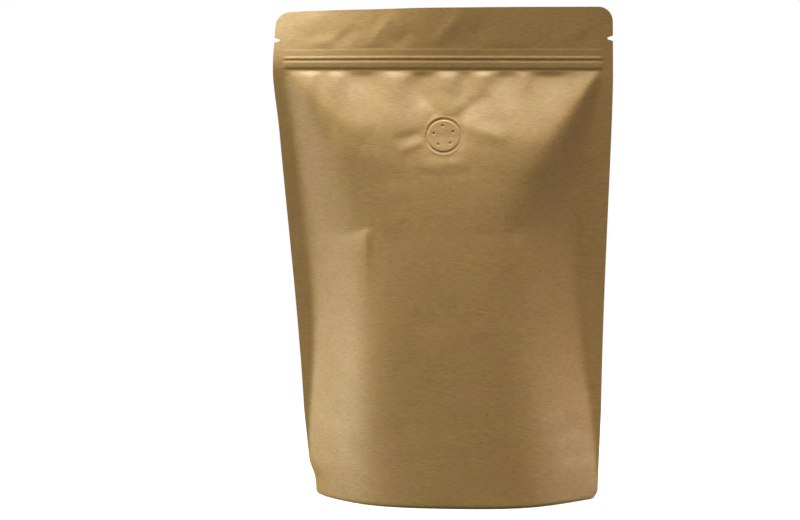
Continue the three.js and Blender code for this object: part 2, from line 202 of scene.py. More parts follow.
HEADER_CREASES = (
    Crease(-84.0, 268.0, -62.0, 276.0, 0.45, 6.0, 8.0),
    Crease(-79.0, 256.5, -58.0, 262.0, 0.30, 4.0, 5.0),
    Crease(-62.0, 257.0, -48.0, 268.0, -0.45, 4.0, 6.0),
    Crease(-44.0, 255.5, -27.0, 276.0, 0.50, 4.0, 6.0),
    Crease(-30.0, 256.0, -16.0, 266.0, -0.45, 5.0, 6.0),
    Crease(-6.0, 257.0, 12.0, 276.5, 0.40, 5.0, 6.0),
    Crease(15.0, 256.0, 24.0, 272.0, -0.22, 7.0, 6.0),
    Crease(50.0, 257.0, 58.0, 266.0, 0.12, 1.0, 2.2),
    Crease(60.0, 256.0, 64.0, 261.0, 0.10, 1.0, 1.6),
    Crease(68.0, 258.0, 84.0, 274.0, 0.18, 6.0, 6.0),
)
CREASE_ROUNDING = 0.13
CREASE_FLANK_POWER = 1.3
CREASE_END_POWER = 0.7

# What the eye takes for ordinary paper: small random creases and a slow unevenness. The creases' lengths are
# shares of the longest, their heights of the tallest, and their flanks of a crease's own length.
Crumple = namedtuple("Crumple", "seed creases low high longest tallest waves")
CRUMPLES = {
    "front": Crumple(11, 70, 4.0, 240.0, 42.0, 0.15, 0.10),
    "back": Crumple(23, 95, 4.0, 240.0, 50.0, 0.26, 0.14),
    "header": Crumple(37, 26, 255.0, 277.0, 20.0, 0.10, 0.05),
}
RANDOM_LENGTHS = (0.25, 1.0)
RANDOM_HEIGHTS = (0.3, 1.0)
RANDOM_FLANKS = (0.12, 0.4)
WAVE_COUNT = 9
WAVE_LENGTHS = (28.0, 80.0)

# All this dies out at the strip, at the foot and along the welds, and in the header just above the strip.
QUIET_STRIP = 3.0
QUIET_FOOT = 6.0
QUIET_SEAL = (1.0, 4.0)
QUIET_HEADER = (-0.5, 3.0)
QUIET_HEADER_SIDE = 5.0

# The valve: a round vent face inside a pressed groove. The paper is flat and smooth round it.
VALVE_FLAT = 11.5
VALVE_BLEND = 24.0
VALVE_QUIET = (10.4, 13.0)
GROOVE_LIP = (10.9, 0.8, 0.08)
GROOVE_TOP = 10.75
GROOVE_FOOT = 9.4
GROOVE_DEPTH = 0.5
GROOVE_UNEVEN = 0.8
GROOVE_SHALLOWEST = math.radians(-58)
WELL_DEPTH = 1.4
WELL_RADII = (8.4, 9.0)

# The block of the front's mesh that rings replace, how many of them lie round the groove, and the radii of
# those that shape it.
BLOCK_HALF = 14.0
BLOCK_RINGS = 7
GROOVE_RINGS = (
    *np.arange(11.7, 9.25, -0.15),
    9.1,
    8.85,
    8.4,
    5.0,
    0.0,
)

# The underside: a channel that runs inside the welded skirt and the fold along its middle.
UNDERSIDE_FULL_HALF = 22.0
CHANNEL_MIDDLE = 4.6
CHANNEL_HALF = 3.0
CHANNEL_RISE = 3.2
FOLD_HALF = 1.6
FOLD_RISE = 1.1

# ---- Mesh density ----
# Where a corner or a notch cuts the weld, its columns keep at least this share of their width.
COLUMN_STEP = 1.2
SEAL_COLUMNS = 4
SEAL_LEAST = 0.45

# The belly's rows end, the strip's begin and end, and the header's begin at these levels.
BELLY_TO = STRIP_FOOT - 1.0
STRIP_FROM = STRIP_FOOT - 0.8
STRIP_TO = STRIP_TOP + 1.0
HEADER_FROM = STRIP_TOP + 1.4
ROW_STEP = 1.25
ROW_GAP = 0.5
STRIP_ROW_STEP = 0.4
CORNER_ROWS = 8

# The underside's rows lie close up to this share of its depth.
SKIRT_SHARE = 0.3
SKIRT_ROWS = 22
MIDDLE_ROWS = 9

BAG_WELD = 0.02 * MM
VALVE_WELD = 0.01 * MM
SMOOTH_ANGLE = math.radians(50)


def smooth(value, low, high):
    """0 below low, 1 above high and a smooth step between."""
    share = np.clip((value - low) / (high - low), 0.0, 1.0)
    return share * share * (3.0 - 2.0 * share)


def soft_min(heights, power):
    """A smooth minimum of heights, so that planes meet in rounded ridges."""
    least = 1e-3
    total = sum(np.maximum(height, least) ** -power for height in heights)
    return np.where(np.minimum.reduce(heights) <= least, 0.0, total ** (-1.0 / power))


def crease_relief(creases, x, level):
    """Height of all creases at each point. A crease is a rounded tent that fades towards both its ends."""
    total = np.zeros_like(x)
    for crease in creases:
        along_x, along_level = crease.to_x - crease.x, crease.to_level - crease.level
        length = math.hypot(along_x, along_level)
        across = (along_x * (level - crease.level) - along_level * (x - crease.x)) / length
        along = (along_x * (x - crease.x) + along_level * (level - crease.level)) / length**2
        width = np.where(across > 0, crease.left, crease.right)
        rounding = CREASE_ROUNDING * width
        tent = 1.0 - (np.hypot(across, rounding) - rounding) / width
        fade = np.sin(math.pi * np.clip(along, 0.0, 1.0)) ** CREASE_END_POWER
        total += crease.height * np.clip(tent, 0.0, 1.0) ** CREASE_FLANK_POWER * fade
    return total


def random_creases(crumple, half_width):
    """Small creases at random places, from a fixed seed."""
    rng = np.random.default_rng(crumple.seed)
    creases = []
    for _ in range(crumple.creases):
        x = rng.uniform(-half_width, half_width)
        level = rng.uniform(crumple.low, crumple.high)
        length = crumple.longest * rng.uniform(*RANDOM_LENGTHS)
        turn = rng.uniform(0, math.pi)
        height = crumple.tallest * rng.uniform(*RANDOM_HEIGHTS) * rng.choice((-1, 1))
        left, right = rng.uniform(*RANDOM_FLANKS, 2) * length
        half_x, half_level = math.cos(turn) * length / 2, math.sin(turn) * length / 2
        start, end = (x - half_x, level - half_level), (x + half_x, level + half_level)
        creases.append(Crease(*start, *end, height, left, right))
    return creases


def slow_waves(crumple, x, level):
    """The slow unevenness of a filled bag: a few waves in random directions, from a fixed seed."""
    rng = np.random.default_rng(crumple.seed + 1)
    total = np.zeros_like(x)
    for _ in range(WAVE_COUNT):
        turn, phase = rng.uniform(0, math.pi), rng.uniform(0, 2 * math.pi)
        length = rng.uniform(*WAVE_LENGTHS)
        along = x * math.cos(turn) + level * math.sin(turn)
        total += crumple.waves * np.sin(2 * math.pi * along / length + phase) / 2
    return total


class BagForm:
    """The bag's surfaces as functions of x and level. A level is a line across the bag given by its height
    in the middle."""

    def __init__(self, sizes):
        self.width = sizes.width / MM
        self.height = sizes.height / MM
        self.base_depth = sizes.base_depth / MM
        self.paper = sizes.paper / MM
        self.seal = sizes.seal / MM
        self.crumple = sizes.crumple
        self.valve_level = sizes.valve_height / MM
        half = self.width / 2
        self.small_creases = {key: random_creases(crumple, half) for key, crumple in CRUMPLES.items()}
        # The plane that the valve lies in touches the pillow at the valve's middle.
        step = 1.0
        at = np.array([0.0, -step, step, 0.0, 0.0])
        level = self.valve_level + np.array([0.0, 0.0, 0.0, -step, step])
        depth = self.pillow(FRONT, at, level)
        self.valve_depth = depth[0]
        self.valve_along_x = (depth[2] - depth[1]) / (2 * step)
        self.valve_along_z = (depth[4] - depth[3]) / (2 * step)

    def level_height(self, x, level):
        """Height of a level at x. The strip slants, and the header is crowned and lifted at its left."""
        slanting = smooth(level, SLANT_FROM, STRIP_FOOT) * (1.0 - smooth(level, STRIP_TOP, self.height))
        lift = HEADER_LIFT * smooth(-x, LIFT_FROM, self.width / 2)
        crown = HEADER_CROWN * np.cos(math.pi * x / self.width) + lift
        return level - STRIP_SLANT * slanting * x + crown * smooth(level, STRIP_TOP, self.height)

    def half_width(self, edge, level):
        tuck = edge.tuck * np.clip(1.0 - level / TUCK_HEIGHT, 0.0, 1.0) ** TUCK_POWER
        kink = edge.kink * (1.0 - smooth(level, KINK_FROM, KINK_TO))
        return self.full_half_width(edge, level) - tuck - kink

    def full_half_width(self, edge, level):
        """Half width where the foot isn't tucked in."""
        filled = np.clip((DRAW_TOP - level) / DRAW_TOP, 0.0, 1.0)
        drawn = edge.drawn * np.sin(math.pi / 2 * filled) ** DRAW_POWER
        bulge = edge.bulge * smooth(BULGE_HALF - np.abs(level - BULGE_LEVEL), 0.0, BULGE_HALF)
        return self.width / 2 - drawn + bulge

    def outline(self, edge, level):
        """Half width with the rounded corners and the tear notch taken away."""
        top = np.clip(level - (self.height - CORNER_RADIUS), 0.0, CORNER_RADIUS)
        foot = np.clip(edge.foot - level, 0.0, edge.foot)
        waste = CORNER_RADIUS - np.sqrt(CORNER_RADIUS**2 - top**2)
        waste += edge.foot - np.sqrt(edge.foot**2 - foot**2)
        slope = NOTCH_DEPTH / (NOTCH_HEIGHT / 2 - NOTCH_TIP / 2)
        notch = slope * (NOTCH_HEIGHT / 2 - np.abs(level - NOTCH_LEVEL))
        return self.half_width(edge, level) - waste - np.clip(notch, 0.0, NOTCH_DEPTH)

    def band_width(self, edge, level):
        band = edge.band
        down = np.clip((STRIP_FOOT - level) / (STRIP_FOOT - band.level), 0.0, 1.0)
        above = band.top + (band.widest - band.top) * np.sin(math.pi / 2 * down)
        return above * smooth(level, band.start, band.level)

    def inside(self, x, level):
        """Distance from the nearer side edge."""
        return np.minimum(self.half_width(LEFT, level) + x, self.half_width(RIGHT, level) - x)

    def middle_depth(self, level):
        top = TOP_SLOPE * (STRIP_FOOT - level)
        return soft_min([top, self.base_depth / 2 - MIDDLE_TAPER * level], TOP_BEND)

    def ridge_x(self, ridge, level):
        below = ridge.foot + (ridge.shoulder - ridge.foot) * level / SHOULDER
        below += ridge.bow * np.sin(math.pi * np.clip(level / SHOULDER, 0.0, 1.0))
        share = np.clip((level - SHOULDER) / (STRIP_FOOT - SHOULDER), 0.0, 1.0)
        above = ridge.shoulder + (self.width / 2 - self.seal - ridge.shoulder) * share**ridge.curve
        return np.where(level < SHOULDER, below, above)

    def cheek_depth(self, edge, ridge, x, level):
        """A plane from the band to the ridge. Where the foot is tucked in, a steep wall meets the edge."""
        below = np.minimum(level, CHEEK_TOP)
        span = self.full_half_width(edge, below) - self.band_width(edge, below) - self.ridge_x(ridge, below)
        slope = self.middle_depth(below) / np.maximum(span, LEAST_SPAN)
        band = self.band_width(edge, level)
        lead_in = LEAD_IN + LEAD_IN_SHARE * band
        halves = self.full_half_width(edge, level), self.half_width(edge, level)
        depths = []
        for half, rise in zip(halves, (slope, WALL_SLOPE)):
            from_band = np.maximum(half - band - edge.side * x, 0.0)
            depths.append(rise * (np.hypot(from_band, lead_in) - lead_in))
        return soft_min(depths, WALL_BEND)

    def shoulder_crease(self, edge, ridge, x, level):
        """The crease that runs out from the ridge's shoulder across the cheek."""
        outwards = edge.side * x - (self.ridge_x(ridge, SHOULDER) - CREASE_INSET)
        drop = CREASE_DROP * (1.0 - np.exp(-np.maximum(outwards, 0.0) / CREASE_DROP_OVER))
        below = np.maximum(CREASE_LEVEL - drop - level, 0.0)
        edge_width = CREASE_EDGE + CREASE_WIDENS * np.maximum(outwards, 0.0)
        fall = (1.0 - np.exp(-below / edge_width)) * np.exp(-below / CREASE_FADE)
        share = np.where(outwards > 0, outwards / CREASE_OUTSIDE, -outwards / CREASE_INSIDE)
        return ridge.crease * fall * np.clip(1.0 - share, 0.0, 1.0) ** 2

    def pillow(self, face, x, level):
        """How far the filled face stands out from the middle sheet, before its relief."""
        sides = ((LEFT, face.left), (RIGHT, face.right))
        cheeks = [self.cheek_depth(edge, ridge, x, level) for edge, ridge in sides]
        creases = sum(self.shoulder_crease(edge, ridge, x, level) for edge, ridge in sides)
        bend = BEND_AT_FOOT + (BEND_AT_SHOULDER - BEND_AT_FOOT) * smooth(level, 0.0, SHOULDER)
        bend += (BEND_AT_STRIP - BEND_AT_SHOULDER) * smooth(level, SHOULDER, STRIP_FOOT)
        depth = soft_min([self.middle_depth(level), *cheeks], bend) + creases
        return np.where(level >= STRIP_FOOT, 0.0, depth)

    def paper_relief(self, face, x, level):
        """Puckers, creases and crumple, quiet at the welds, on the strip and round the valve."""
        body = "front" if face is FRONT else "back"
        relief = slow_waves(CRUMPLES[body], x, level) + crease_relief(self.small_creases[body], x, level)
        if face is FRONT:
            relief += crease_relief(FRONT_CREASES, x, level)
        below = np.maximum(STRIP_FOOT - level, 0.0)
        for pucker in PUCKERS:
            place = pucker.x if face is FRONT else -pucker.x
            fall = below / pucker.reach * np.exp(1.0 - below / pucker.reach)
            relief += pucker.bulge * np.exp(-(((x - place) / pucker.half) ** 2)) * fall
        relief *= smooth(below, 0.0, QUIET_STRIP) * smooth(level, 0.0, QUIET_FOOT)
        if face is FRONT:
            relief *= smooth(np.hypot(x, level - self.valve_level), *VALVE_QUIET)
        near, far = QUIET_SEAL
        return self.crumple * relief * smooth(self.inside(x, level), near, self.seal + far)

    def face_depth(self, face, x, level):
        depth = self.pillow(face, x, level)
        if face is FRONT:
            up = level - self.valve_level
            flat = 1.0 - smooth(np.hypot(x, up), VALVE_FLAT, VALVE_BLEND)
            plane = self.valve_depth + self.valve_along_x * x + self.valve_along_z * up
            depth = depth + (plane - depth) * flat
        return depth + self.paper_relief(face, x, level)

    def strip_rise(self, x, level):
        """The strip's flange and ribs, which end at the welds."""
        rise = FLANGE_RISE * smooth(level, STRIP_FOOT - FLANGE_EDGE, STRIP_FOOT)
        rise *= 1.0 - smooth(level, STRIP_TOP - FLANGE_EDGE, STRIP_TOP + FLANGE_EDGE)
        for rib in RIBS:
            rise = rise + rib.rise * (1.0 - smooth(np.abs(level - rib.level), rib.flat, rib.half))
        return rise * smooth(self.inside(x, level) - self.seal, 0.0, RIB_END_FADE)

    def middle_sheet(self, x, level):
        """y of the sheet half way between both faces: the base's twist, and the header's wave and creases."""
        filled = np.clip((STRIP_FOOT - level) / STRIP_FOOT, 0.0, 1.0)
        header = np.clip((level - STRIP_TOP) / (self.height - STRIP_TOP), 0.0, 1.0)
        twist = -TWIST * (x / TWIST_HALF_WIDTH) * filled**2
        wave = HEADER_WAVE * np.sin(2 * math.pi * x / self.width + WAVE_PHASE) * header**2
        # The header's two layers are welded, so its creases move both.
        creased = slow_waves(CRUMPLES["header"], x, level) + crease_relief(HEADER_CREASES, x, level)
        creased += crease_relief(self.small_creases["header"], x, level)
        low, high = QUIET_HEADER
        creased *= self.crumple * smooth(level, STRIP_TOP + low, STRIP_TOP + high)
        return twist + wave - creased * smooth(self.inside(x, level), 0.0, QUIET_HEADER_SIDE)

    def point(self, face, x, level, thickness=1.0):
        """A point of the paper's outer surface. With thickness 0 it lies on the rim, between both layers."""
        relief = self.face_depth(face, x, level) + self.strip_rise(x, level)
        turn = np.clip(1.0 - level / FOOT_TURN_HEIGHT, 0.0, 1.0) ** 2
        relief -= FOOT_TURN * turn * smooth(self.inside(x, level), FOOT_TURN_FROM, self.seal)
        depth = thickness * (self.paper / 2 + relief)
        y = self.middle_sheet(x, level) + face.outward * depth
        z = self.level_height(x, level)
        above = np.maximum(z - LEAN_PIVOT, 0.0)
        above = above**2 / (above + LEAN_START)
        lean = LEAN_LEFT + (LEAN_RIGHT - LEAN_LEFT) * smooth(x, LEAN_FROM, LEAN_TO)
        return np.stack([x, y + above * np.sin(lean), z - above * (1.0 - np.cos(lean))], axis=-1)

    def valve_axes(self):
        """Across, up and outward directions of the valve's plane, and its middle."""
        across = np.array([1.0, -self.valve_along_x, 0.0])
        upward = np.array([0.0, -self.valve_along_z, 1.0])
        across /= np.linalg.norm(across)
        outward = np.cross(across, upward)
        outward /= np.linalg.norm(outward)
        middle = self.point(FRONT, np.array([0.0]), np.array([self.valve_level]))[0]
        return across, np.cross(outward, across), outward, middle


# ---- Helpers for meshes ----
def deselect():
    bpy.ops.object.select_all(action="DESELECT")


def active_only(piece):
    deselect()
    piece.select_set(True)
    bpy.context.view_layer.objects.active = piece


def select_none(piece):
    active_only(piece)
    bpy.ops.object.mode_set(mode="EDIT")
    bpy.ops.mesh.select_all(action="DESELECT")
    bpy.ops.object.mode_set(mode="OBJECT")


def grid_piece(name, columns, rows, points):
    """A grid primitive whose points are moved to the given places, a row at a time from the bottom."""
    deselect()
    bpy.ops.mesh.primitive_grid_add(x_subdivisions=columns - 1, y_subdivisions=rows - 1, size=2)
    piece = bpy.context.active_object
    piece.name = piece.data.name = name
    flat = np.zeros(3 * len(piece.data.vertices))
    piece.data.vertices.foreach_get("co", flat)
    flat = flat.reshape(-1, 3)
    column = np.rint((flat[:, 0] + 1) / 2 * (columns - 1)).astype(int)
    row = np.rint((flat[:, 1] + 1) / 2 * (rows - 1)).astype(int)
    piece.data.vertices.foreach_set("co", (points[row, column] * MM).ravel())
    piece.data.update()
    return piece


def join_closed(pieces, merge_distance):
    """Joins pieces whose rims meet, welds the rims and turns the faces outwards."""
    deselect()
    for piece in pieces:
        piece.select_set(True)
    bpy.context.view_layer.objects.active = pieces[0]
    bpy.ops.object.join()
    bpy.ops.object.mode_set(mode="EDIT")
    bpy.ops.mesh.select_all(action="SELECT")
    bpy.ops.mesh.remove_doubles(threshold=merge_distance)
    bpy.ops.mesh.dissolve_degenerate(threshold=merge_distance / 2)
    bpy.ops.mesh.normals_make_consistent(inside=False)
    bpy.ops.object.mode_set(mode="OBJECT")
    return pieces[0]


def check_closed(piece):
    """Raises an error if the mesh has an open or a doubled edge."""
    uses = np.zeros(len(piece.data.edges), int)
    edge_of_corner = np.zeros(len(piece.data.loops), int)
    piece.data.loops.foreach_get("edge_index", edge_of_corner)
    np.add.at(uses, edge_of_corner, 1)
    if (uses != 2).any():
        raise RuntimeError(f"{piece.name} has {int((uses != 2).sum())} edges that aren't shared by two faces")


# ---- Settings ----
def linear(hex_colour):
    """An sRGB hex colour as linear RGBA."""
    channels = [int(hex_colour[i : i + 2], 16) / 255 for i in (0, 2, 4)]
    return [c / 12.92 if c <= 0.04045 else ((c + 0.055) / 1.055) ** 2.4 for c in channels] + [1.0]


def colour_property(name, description, hex_colour):
    return bpy.props.FloatVectorProperty(
        name=name, description=description, subtype="COLOR", size=4, min=0, max=1, default=linear(hex_colour)
    )


def length_property(name, description, default):
    return bpy.props.FloatProperty(name=name, description=description, default=default, unit="LENGTH")


class KraftBagSizes(bpy.types.PropertyGroup):
    width: length_property("Width", "Flat width of the bag", BAG_HIGH.x - BAG_LOW.x)
    height: length_property("Height", "Height of the standing bag", BAG_HIGH.z - BAG_LOW.z)
    base_depth: length_property("Base depth", "Depth of the open base before its edges round off", 82 * MM)
    paper: length_property("Paper", "Thickness of both layers where they are welded", 0.7 * MM)
    seal: length_property("Seal", "Width of the welded band along each side", 5.5 * MM)
    valve_height: length_property("Valve height", "Height of the valve's middle", 207 * MM)
    crumple: bpy.props.FloatProperty(
        name="Crumple",
        description="How strongly the paper is creased",
        default=1.0,
        min=0,
        max=3,
        subtype="FACTOR",
    )


class KraftBagLook(bpy.types.PropertyGroup):
    kraft: colour_property("Kraft", "Colour of the unbleached pulp", "ac8749")
    kraft_warm: colour_property("Kraft, warm", "Colour of its redder clouds", "ae844c")
    fibre: colour_property("Fibre", "Colour of its darker fibres", "8c6934")
    fleck: colour_property("Fleck", "Colour of the bark flecks", "5b4122")


# ---- The bag ----
class KRAFTBAG_OT_bag(bpy.types.Operator):
    """Model the bag's paper shell: front, back, and the gusset it stands on"""

    bl_idname = "kraftbag.bag"
    bl_label = "Paper Bag"

    def execute(self, context):
        form = BagForm(context.scene.kraftbag_sizes)
        levels = row_levels(form)
        x = column_grid(form, levels)
        panels = [panel("bag_front", form, FRONT, x, levels), panel("bag_back", form, BACK, x, levels)]
        panels.append(valve_surround(form, panels[0], x, levels))
        panels.append(gusset(form, x[0], levels[0]))
        bag = join_closed(panels, BAG_WELD)
        bag.name = bag.data.name = "kraft_bag"
        check_closed(bag)
        active_only(bag)
        bpy.ops.object.shade_smooth_by_angle(angle=SMOOTH_ANGLE)
        bag.data.materials.append(kraft_material("machine_glazed_kraft", context.scene.kraftbag_look))
        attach(bag, "root")
        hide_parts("bag")
        return {"FINISHED"}


def row_levels(form):
    """Levels of the rows: even steps, closer on the strip, at the notches and round the corners."""
    arc = CORNER_RADIUS * np.sin(np.linspace(0, math.pi / 2, CORNER_ROWS))
    radius = max(LEFT.foot, RIGHT.foot)
    foot = radius * (1 - np.cos(np.linspace(0, math.pi / 2, CORNER_ROWS)))
    belly = np.arange(radius + ROW_STEP, BELLY_TO, ROW_STEP)
    strip = np.arange(STRIP_FROM, STRIP_TO, STRIP_ROW_STEP)
    below_notch = np.arange(HEADER_FROM, NOTCH_LEVEL - NOTCH_HEIGHT / 2 - ROW_GAP, ROW_STEP)
    notch = NOTCH_LEVEL + np.array([-NOTCH_HEIGHT, -NOTCH_TIP, 0.0, NOTCH_TIP, NOTCH_HEIGHT]) / 2
    above_notch = NOTCH_LEVEL + NOTCH_HEIGHT / 2 + ROW_STEP
    header = np.arange(above_notch, form.height - CORNER_RADIUS - ROW_GAP, ROW_STEP)
    top = form.height - CORNER_RADIUS + arc
    return np.concatenate([foot, belly, strip, below_notch, notch, header, top])


def column_grid(form, levels):
    """x of every column at every level, from the left rim to the right one."""
    outer = {edge: form.outline(edge, levels) for edge in (LEFT, RIGHT)}
    inner = {}
    for edge in (LEFT, RIGHT):
        seal_line = form.half_width(edge, levels) - form.seal
        inner[edge] = np.minimum(seal_line, outer[edge] - SEAL_LEAST * form.seal)
    steps = int(round((form.width - 2 * form.seal) / COLUMN_STEP))
    between = np.linspace(0, 1, steps + 1)
    shares = np.linspace(0, 1, SEAL_COLUMNS + 1)[:-1]
    rows = []
    for r in range(len(levels)):
        left_out, left_in = -outer[LEFT][r], -inner[LEFT][r]
        right_out, right_in = outer[RIGHT][r], inner[RIGHT][r]
        seal_left = left_out + (left_in - left_out) * shares
        seal_right = right_out + (right_in - right_out) * shares[::-1]
        rows.append(np.concatenate([seal_left, left_in + (right_in - left_in) * between, seal_right]))
    return np.array(rows)


def rim_points(form, x, level):
    """The bottom of the little groove between both layers, along the sides and the top."""
    return form.point(FRONT, x, level, thickness=0.0)


def panel(name, form, face, x, levels):
    """One face of the bag. Its sides and top turn in to the rim between both layers."""
    level = np.repeat(levels[:, None], x.shape[1], axis=1)
    places = form.point(face, x, level)
    left = rim_points(form, x[:, :1] + RIM_INSET, level[:, :1])
    right = rim_points(form, x[:, -1:] - RIM_INSET, level[:, -1:])
    places = np.concatenate([left, places, right], axis=1)
    top_x = np.concatenate([x[-1:, :1] + RIM_INSET, x[-1:], x[-1:, -1:] - RIM_INSET], axis=1)
    top = rim_points(form, top_x, np.full_like(top_x, levels[-1] - RIM_INSET))
    places = np.concatenate([places, top], axis=0)
    return grid_piece(name, places.shape[1], places.shape[0], places)


def valve_surround(form, front, x, levels):
    """Takes a block of the front's mesh away and fills it with rings that run in to the valve's groove."""
    middle_row = int(np.abs(levels - form.valve_level).argmin())
    columns = np.flatnonzero(np.abs(x[middle_row]) <= BLOCK_HALF)
    rows = np.flatnonzero(np.abs(levels - form.valve_level) <= BLOCK_HALF)
    c0, c1, r0, r1 = columns[0], columns[-1], rows[0], rows[-1]
    delete_block(front, x.shape[1] + 2, c0 + 1, c1 + 1, r0, r1)
    loop = [(r0, c) for c in range(c0, c1)] + [(r, c1) for r in range(r0, r1)]
    loop += [(r1, c) for c in range(c1, c0, -1)] + [(r, c0) for r in range(r1, r0, -1)]
    loop.append(loop[0])
    edge_x = np.array([x[place] for place in loop])
    edge_level = np.array([levels[r] for r, _ in loop])
    across, upward, outward, _ = form.valve_axes()
    wide, high = across[0], upward[2]
    far = np.hypot(edge_x / wide, (edge_level - form.valve_level) / high)
    shares = np.linspace(1.0, 0.0, BLOCK_RINGS + 1)[:-1]
    radii = [GROOVE_RINGS[0] + (far - GROOVE_RINGS[0]) * share for share in shares]
    radii += [np.full_like(far, radius) for radius in GROOVE_RINGS]
    depth = groove_depth(np.arctan2((edge_level - form.valve_level) / high, edge_x / wide))
    rings = []
    for radius in radii:
        ring_x = edge_x * radius / far
        ring_level = form.valve_level + (edge_level - form.valve_level) * radius / far
        rise = groove_rise(radius, depth)[:, None] * outward
        rings.append(form.point(FRONT, ring_x, ring_level) + rise)
    places = np.array(rings)
    return grid_piece("valve_surround", places.shape[1], places.shape[0], places)


def groove_depth(turn):
    """The groove is pressed unevenly: deep at its upper left and nearly flat at its lower right."""
    return GROOVE_DEPTH * (1.0 - GROOVE_UNEVEN * (1.0 + np.cos(turn - GROOVE_SHALLOWEST)) / 2)


def groove_rise(radius, depth):
    """The pressed groove: a low lip, a rounded wall, and the well that the valve's face lies in."""
    middle, half, rise = GROOVE_LIP
    lip = rise * (1.0 - smooth(np.abs(radius - middle), 0.0, half))
    wall = depth * (1.0 - smooth(radius, GROOVE_FOOT, GROOVE_TOP))
    return lip - wall - (WELL_DEPTH - wall) * (1.0 - smooth(radius, *WELL_RADII))


def delete_block(piece, per_row, c0, c1, r0, r1):
    """Deletes the faces between two columns and two rows of a grid piece."""
    mesh = piece.data
    select_none(piece)
    for face in mesh.polygons:
        rows, columns = zip(*(divmod(v, per_row) for v in face.vertices))
        if min(rows) >= r0 and max(rows) <= r1 and min(columns) >= c0 and max(columns) <= c1:
            face.select = True
    active_only(piece)
    bpy.ops.object.mode_set(mode="EDIT")
    bpy.ops.mesh.select_mode(type="FACE")
    bpy.ops.mesh.delete(type="FACE")
    bpy.ops.object.mode_set(mode="OBJECT")


def gusset(form, x, level):
    """The underside: a welded skirt, a shallow channel inside it and a flat belly with its centre fold."""
    front = form.point(FRONT, x, np.full_like(x, level))
    back = form.point(BACK, x, np.full_like(x, level))
    half = (back[:, 1] - front[:, 1]) / 2
    relief = np.clip(half / UNDERSIDE_FULL_HALF, 0.0, 1.0)
    skirt = np.linspace(0, SKIRT_SHARE, SKIRT_ROWS)[:-1]
    share = np.concatenate([skirt, np.linspace(SKIRT_SHARE, 0.5, MIDDLE_ROWS)])
    share = np.concatenate([share, 1 - share[-2::-1]])
    rows = []
    for s in share:
        inwards = np.minimum(s, 1 - s) * 2 * half
        channel = CHANNEL_RISE * smooth(CHANNEL_HALF - np.abs(inwards - CHANNEL_MIDDLE), 0.0, CHANNEL_HALF)
        fold = FOLD_RISE * np.clip(1 - np.abs(half - inwards) / FOLD_HALF, 0.0, 1.0)
        rise = relief * (channel + fold) if 0 < s < 1 else np.zeros_like(x)
        y = front[:, 1] + s * 2 * half
        rows.append(np.stack([x, y, front[:, 2] + rise], axis=-1))
    places = np.array(rows)
    rims = [rim_points(form, at, np.array([level])) for at in (x[:1] + RIM_INSET, x[-1:] - RIM_INSET)]
    ends = [np.repeat(rim[None], len(share), axis=0) for rim in rims]
    places = np.concatenate([ends[0], places, ends[1]], axis=1)
    return grid_piece("bag_gusset", places.shape[1], places.shape[0], places)


# ---- The valve ----
# Its face has a soft fold across, from which both halves tilt, and an edge that dips into the groove.
FACE_RADIUS = 8.3
EDGE_RADIUS = 9.36
FACE_RISE = 0.1
FACE_RINGS = 29
EDGE_RINGS = 9
EDGE_CLEARANCE = 0.05
UNDERSIDE_RADIUS = 8.2
UNDERSIDE = -0.95
VALVE_SEGMENTS = 144
LOWER_TILT = 0.035
UPPER_TILT = 0.04
VALVE_FOLD_AT = -0.8
FOLD_FROM = 2.0

# The pinholes, each with a wall that runs from its floor's radius out to its lip's.
VENTS = 5
VENT_PITCH_RADIUS = 5.7
VENT_TURN = math.radians(5)
VENT_WALL = (0.2, 0.65)
VENT_DEPTH = 0.6
DIMPLE_RADIUS = 1.35
DIMPLE_DEPTH = 0.16


class KRAFTBAG_OT_valve(bpy.types.Operator):
    """Model the valve's round face, with its pinholes, in the groove pressed round it"""

    bl_idname = "kraftbag.valve"
    bl_label = "Valve Face"

    def execute(self, context):
        form = BagForm(context.scene.kraftbag_sizes)
        across, upward, outward, middle = form.valve_axes()
        turns = np.linspace(0, 2 * math.pi, VALVE_SEGMENTS + 1)
        rows = []
        for radius, rise in valve_rings(turns):
            right, up = radius * np.cos(turns), radius * np.sin(turns)
            rows.append(middle + right[:, None] * across + up[:, None] * upward + rise[:, None] * outward)
        places = np.array(rows)
        valve = grid_piece("valve_face", places.shape[1], places.shape[0], places)
        join_closed([valve], VALVE_WELD)
        check_closed(valve)
        active_only(valve)
        bpy.ops.object.shade_smooth_by_angle(angle=SMOOTH_ANGLE)
        valve.data.materials.append(kraft_material("pressed_kraft", context.scene.kraftbag_look))
        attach(valve, "root")
        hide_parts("valve")
        return {"FINISHED"}


def valve_rings(turns):
    """The face's rings, as radius and heights: its top with a fold across, its rounded edge that dips into
    the groove, and its underside."""
    lowest = -groove_depth(turns) + EDGE_CLEARANCE
    edge_radii = np.linspace(FACE_RADIUS, EDGE_RADIUS, EDGE_RINGS)[1:]
    rings = []
    for radius in (*np.linspace(0.0, FACE_RADIUS, FACE_RINGS), *edge_radii):
        right, up = radius * np.cos(turns), radius * np.sin(turns)
        fold = np.where(up < VALVE_FOLD_AT, LOWER_TILT, UPPER_TILT) * np.abs(up - VALVE_FOLD_AT)
        top = FACE_RISE + fold * smooth(radius, 0.0, FOLD_FROM) + vent_relief(right, up)
        share = max(radius - FACE_RADIUS, 0.0) / (EDGE_RADIUS - FACE_RADIUS)
        rings.append((radius, top + (lowest - top) * share**2))
    rings.append((EDGE_RADIUS - EDGE_CLEARANCE, lowest - EDGE_CLEARANCE / 2))
    rings += [(radius, np.full_like(turns, UNDERSIDE)) for radius in (UNDERSIDE_RADIUS, 0.0)]
    return rings


